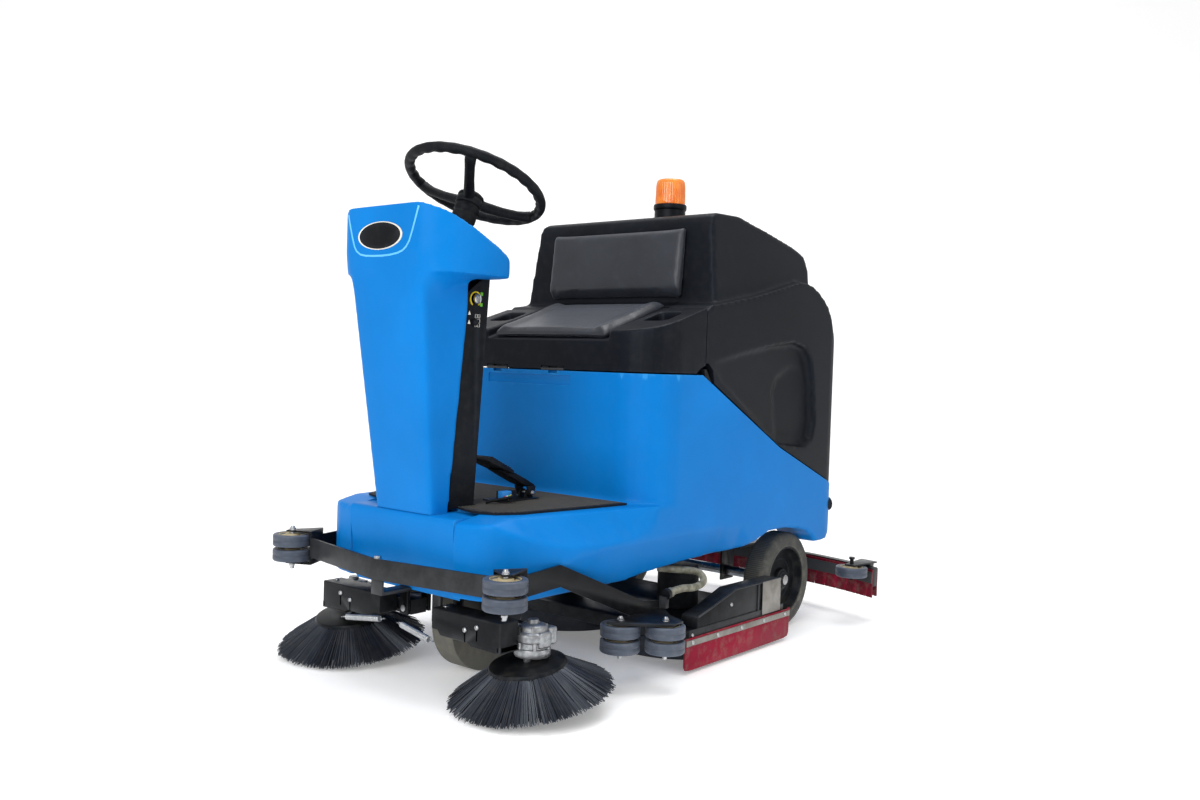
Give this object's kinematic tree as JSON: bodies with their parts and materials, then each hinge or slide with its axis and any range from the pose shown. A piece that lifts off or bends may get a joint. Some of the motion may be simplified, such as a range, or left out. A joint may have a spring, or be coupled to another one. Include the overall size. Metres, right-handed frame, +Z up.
{
  "type": "ride on sweeper",
  "caption": "Ride-on floor sweeper-scrubber with side brushes, scrub deck, rear squeegee, steering column and driver's seat.",
  "frame": {"origin": "on the floor under the middle of the machine", "axes": "+Z up, -Y towards the machine's front, +X to the driver's left"},
  "size_m": [1.0576, 1.734, 1.385],
  "materials": {
    "blue_shell": "satin moulded",
    "black_plastic": "fine grained",
    "seat_vinyl": "soft grained",
    "rubber_black": "ribbed",
    "painted_steel": "black powder coat",
    "zinc_steel": "zinc plated",
    "grey_tyre": "solid grey",
    "roller_grey": "matt",
    "hub_plastic": "moulded",
    "bristle_black": "nylon bristle",
    "red_polyurethane": "cast",
    "gearbox_aluminium": "as cast",
    "amber_lens": "ribbed",
    "battery_case": "moulded",
    "hose_clear": "ribbed",
    "motor_paint": "satin"
  },
  "bodies": {
    "chassis": {"chassis_frame": "painted_steel", "axles_and_pins": "zinc_steel", "hull_shell": "blue_shell", "nose_cover": "blue_shell", "column_shell": "blue_shell", "column_rear_panel": "black_plastic", "dash_panel": "black_plastic", "pedal_base": "painted_steel", "pedal_lead": "rubber_black", "floor_mat": "rubber_black", "recovery_tank": "black_plastic", "backrest_pad": "seat_vinyl", "vacuum_motor": "motor_paint", "beacon_base": "black_plastic", "beacon_lens": "amber_lens", "battery_pack": "battery_case", "bumper_bar": "painted_steel", "roller_bolts": "zinc_steel", "brush_springs": "zinc_steel", "water_hose": "hose_clear"},
    "hood": {"seat_hood": "black_plastic", "seat_cushion": "seat_vinyl"},
    "lid": {"tank_lid": "black_plastic"},
    "steering": {"steering_wheel": "black_plastic", "steering_shaft": "black_plastic"},
    "key": {"key_switch": "zinc_steel"},
    "button": {"horn_button": "black_plastic"},
    "accelerator": {"pedal": "rubber_black"},
    "drive_unit": {"drive_fork": "painted_steel", "drive_motor": "motor_paint"},
    "front_wheel": {"drive_wheel": "grey_tyre"},
    "deck": {"deck_housing": "painted_steel", "scrub_motors": "motor_paint", "deck_skirts": "red_polyurethane", "skirt_clamps": "zinc_steel"},
    "squeegee": {"squeegee_frame": "painted_steel", "squeegee_blades": "red_polyurethane", "squeegee_clamp": "zinc_steel"},
    "rear_wheel_left": {"rear_tyre_left": "grey_tyre", "rear_hub_left": "hub_plastic"},
    "front_guide_left": {"front_rollers_left": "roller_grey"},
    "side_guide_front_left": {"side_rollers_front_left": "roller_grey"},
    "side_guide_rear_left": {"side_rollers_rear_left": "roller_grey"},
    "squeegee_guide_left": {"squeegee_roller_left": "roller_grey"},
    "side_arm_left": {"brush_arm_left": "painted_steel", "brush_motor_left": "gearbox_aluminium"},
    "side_brush_left": {"brush_disc_left": "black_plastic", "brush_bristles_left": "bristle_black"},
    "scrub_left": {"scrub_brush_left": "bristle_black"},
    "rear_wheel_right": {"rear_tyre_right": "grey_tyre", "rear_hub_right": "hub_plastic"},
    "front_guide_right": {"front_rollers_right": "roller_grey"},
    "side_guide_front_right": {"side_rollers_front_right": "roller_grey"},
    "side_guide_rear_right": {"side_rollers_rear_right": "roller_grey"},
    "squeegee_guide_right": {"squeegee_roller_right": "roller_grey"},
    "side_arm_right": {"brush_arm_right": "painted_steel", "brush_motor_right": "gearbox_aluminium"},
    "side_brush_right": {"brush_disc_right": "black_plastic", "brush_bristles_right": "bristle_black"},
    "scrub_right": {"scrub_brush_right": "bristle_black"}
  },
  "joints": [
    {"name": "hood_tilt", "type": "hinge", "parent": "chassis", "child": "hood", "pos_m": [0, -0.29, 0.784], "axis": [1, 0, 0], "range_deg": [0, 75]},
    {"name": "lid_tilt", "type": "hinge", "parent": "chassis", "child": "lid", "pos_m": [0, 0.337, 1.21651], "axis": [1, 0, 0], "range_deg": [0, 80]},
    {"name": "drive_steer", "type": "hinge", "parent": "chassis", "child": "drive_unit", "pos_m": [0, -0.515, 0.28], "axis": [0, 0, 1], "range_deg": [-60, 60]},
    {"name": "steering_turn", "type": "hinge", "parent": "chassis", "child": "steering", "pos_m": [0, -0.568, 1.2445], "axis": [0, 0.3939, 0.9191], "range_deg": [-180, 180]},
    {"name": "front_wheel_spin", "type": "hinge", "parent": "drive_unit", "child": "front_wheel", "pos_m": [0, -0.515, 0.125], "axis": [1, 0, 0], "continuous": true},
    {"name": "key_turn", "type": "hinge", "parent": "chassis", "child": "key", "pos_m": [0.1, -0.662, 0.949], "axis": [1, 0, 0], "range_deg": [0, 90]},
    {"name": "horn_push", "type": "slide", "parent": "chassis", "child": "button", "axis": [-1, 0, 0], "range_m": [0, 0.004], "stiffness_N_per_m": 800},
    {"name": "pedal_press", "type": "hinge", "parent": "chassis", "child": "accelerator", "pos_m": [0.085, -0.44, 0.462], "axis": [1, 0, 0], "range_deg": [0, 8], "stiffness_Nm_per_rad": 8, "springref_deg": -4.58},
    {"name": "deck_lift", "type": "slide", "parent": "chassis", "child": "deck", "axis": [0, 0, 1], "range_m": [0, 0.04]},
    {"name": "squeegee_lower", "type": "slide", "parent": "chassis", "child": "squeegee", "axis": [0, 0, -1], "range_m": [0, 0.08]},
    {"name": "rear_wheel_spin_left", "type": "hinge", "parent": "chassis", "child": "rear_wheel_left", "pos_m": [0.312, 0.474, 0.148], "axis": [1, 0, 0], "continuous": true},
    {"name": "front_guide_spin_left", "type": "hinge", "parent": "chassis", "child": "front_guide_left", "pos_m": [0.391, -0.817, 0.298], "axis": [0, 0, 1], "continuous": true},
    {"name": "side_guide_front_spin_left", "type": "hinge", "parent": "chassis", "child": "side_guide_front_left", "pos_m": [0.388, -0.406, 0.13], "axis": [0, 0, 1], "continuous": true},
    {"name": "side_guide_rear_spin_left", "type": "hinge", "parent": "chassis", "child": "side_guide_rear_left", "pos_m": [0.47, -0.33, 0.13], "axis": [0, 0, 1], "continuous": true},
    {"name": "squeegee_guide_spin_left", "type": "hinge", "parent": "squeegee", "child": "squeegee_guide_left", "pos_m": [0.465, 0.681, 0.166], "axis": [0, 0, 1], "continuous": true},
    {"name": "side_arm_lift_left", "type": "hinge", "parent": "chassis", "child": "side_arm_left", "pos_m": [0.06, -0.678, 0.175], "axis": [0, -1, 0], "range_deg": [0, 6]},
    {"name": "side_brush_spin_left", "type": "hinge", "parent": "side_arm_left", "child": "side_brush_left", "pos_m": [0.332, -0.661, 0.0345], "axis": [-0.0434, -0.1607, 0.986], "continuous": true},
    {"name": "scrub_spin_left", "type": "hinge", "parent": "deck", "child": "scrub_left", "pos_m": [0.215, 0.08, 0.05], "axis": [0, 0, 1], "continuous": true},
    {"name": "rear_wheel_spin_right", "type": "hinge", "parent": "chassis", "child": "rear_wheel_right", "pos_m": [-0.312, 0.474, 0.148], "axis": [1, 0, 0], "continuous": true},
    {"name": "front_guide_spin_right", "type": "hinge", "parent": "chassis", "child": "front_guide_right", "pos_m": [-0.391, -0.817, 0.298], "axis": [0, 0, 1], "continuous": true},
    {"name": "side_guide_front_spin_right", "type": "hinge", "parent": "chassis", "child": "side_guide_front_right", "pos_m": [-0.388, -0.406, 0.13], "axis": [0, 0, 1], "continuous": true},
    {"name": "side_guide_rear_spin_right", "type": "hinge", "parent": "chassis", "child": "side_guide_rear_right", "pos_m": [-0.47, -0.33, 0.13], "axis": [0, 0, 1], "continuous": true},
    {"name": "squeegee_guide_spin_right", "type": "hinge", "parent": "squeegee", "child": "squeegee_guide_right", "pos_m": [-0.465, 0.681, 0.166], "axis": [0, 0, 1], "continuous": true},
    {"name": "side_arm_lift_right", "type": "hinge", "parent": "chassis", "child": "side_arm_right", "pos_m": [-0.06, -0.678, 0.175], "axis": [0, 1, 0], "range_deg": [0, 6]},
    {"name": "side_brush_spin_right", "type": "hinge", "parent": "side_arm_right", "child": "side_brush_right", "pos_m": [-0.332, -0.661, 0.0345], "axis": [0.0434, -0.1607, 0.986], "continuous": true},
    {"name": "scrub_spin_right", "type": "hinge", "parent": "deck", "child": "scrub_right", "pos_m": [-0.215, 0.08, 0.05], "axis": [0, 0, 1], "continuous": true}
  ],
  "couplings": [
    {"joint": "steering_turn", "follows": "drive_steer", "ratio": 3},
    {"joint": "side_arm_lift_right", "follows": "side_arm_lift_left", "ratio": 1}
  ]
}
